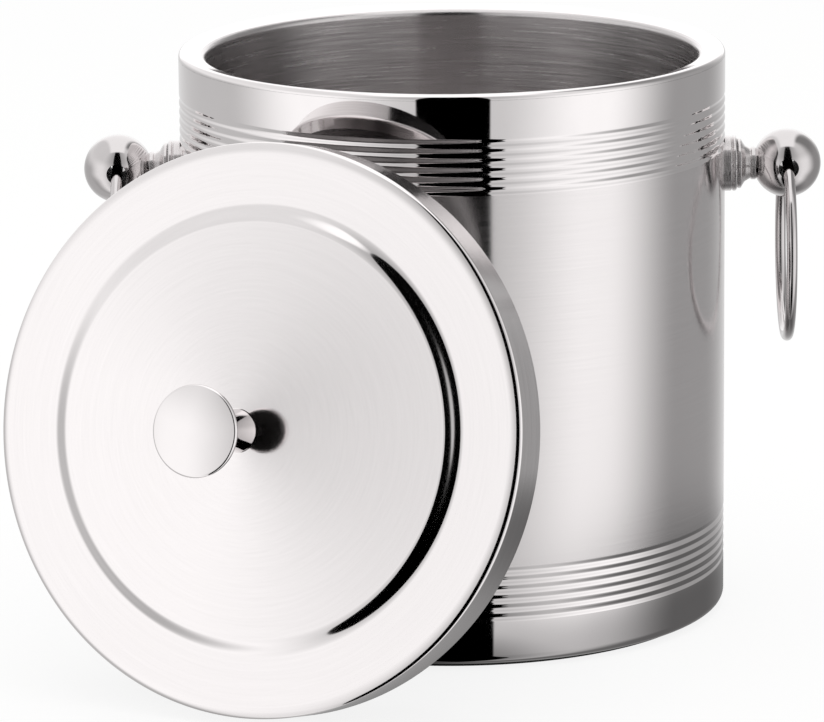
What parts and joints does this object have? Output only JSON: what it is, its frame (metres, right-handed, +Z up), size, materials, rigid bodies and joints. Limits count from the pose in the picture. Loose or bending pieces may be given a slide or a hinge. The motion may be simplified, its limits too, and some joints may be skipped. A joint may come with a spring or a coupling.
{
  "type": "ice bucket",
  "caption": "Double-wall stainless steel ice bucket with ribbed bands, swinging ring handles on ball-ended posts and a plugged lid with a button knob, lifted off and leaning on the wall.",
  "frame": {"origin": "centre of the foot pad on the table", "axes": "+Z up along the bucket's axis, the handles on +X and -X, the lid leaning in front towards -Y and -X"},
  "size_m": [0.2432, 0.2461, 0.172],
  "materials": {
    "polished_steel": "mirror-polished stainless steel",
    "satin_steel": "satin stainless steel, brushed round the wall, with polished bands",
    "brushed_steel": "circularly brushed stainless steel",
    "zinc_steel": "zinc-plated steel",
    "black_rubber": "matt black rubber"
  },
  "bodies": {
    "bucket": {"outer_shell": "satin_steel", "inner_liner": "brushed_steel", "base_plate": "polished_steel", "foot_pad": "black_rubber", "handle_collar_left": "polished_steel", "handle_collar_right": "polished_steel", "handle_post_left": "polished_steel", "handle_post_right": "polished_steel", "handle_plate_left": "zinc_steel", "handle_plate_right": "zinc_steel", "handle_washer_left": "zinc_steel", "handle_washer_right": "zinc_steel", "handle_screw_left": "zinc_steel", "handle_screw_right": "zinc_steel"},
    "left_ring": {"handle_ring_left": "polished_steel"},
    "right_ring": {"handle_ring_right": "polished_steel"},
    "lid": {"lid_cover": "brushed_steel", "lid_pan": "brushed_steel", "knob_neck": "polished_steel", "knob_cap": "polished_steel", "knob_washer": "zinc_steel", "knob_screw": "zinc_steel"}
  },
  "joints": [
    {"name": "left_ring_swing", "type": "hinge", "parent": "bucket", "child": "left_ring", "pos_m": [-0.10137, 0, 0.1355], "axis": [0, 1, 0], "range_deg": [-17, 180]},
    {"name": "right_ring_swing", "type": "hinge", "parent": "bucket", "child": "right_ring", "pos_m": [0.10137, 0, 0.1355], "axis": [0, -1, 0], "range_deg": [-17, 180]},
    {"name": "lid_lift", "type": "slide", "parent": "bucket", "child": "lid", "axis": [0, 0, 1], "range_m": [0, 0.2]}
  ]
}
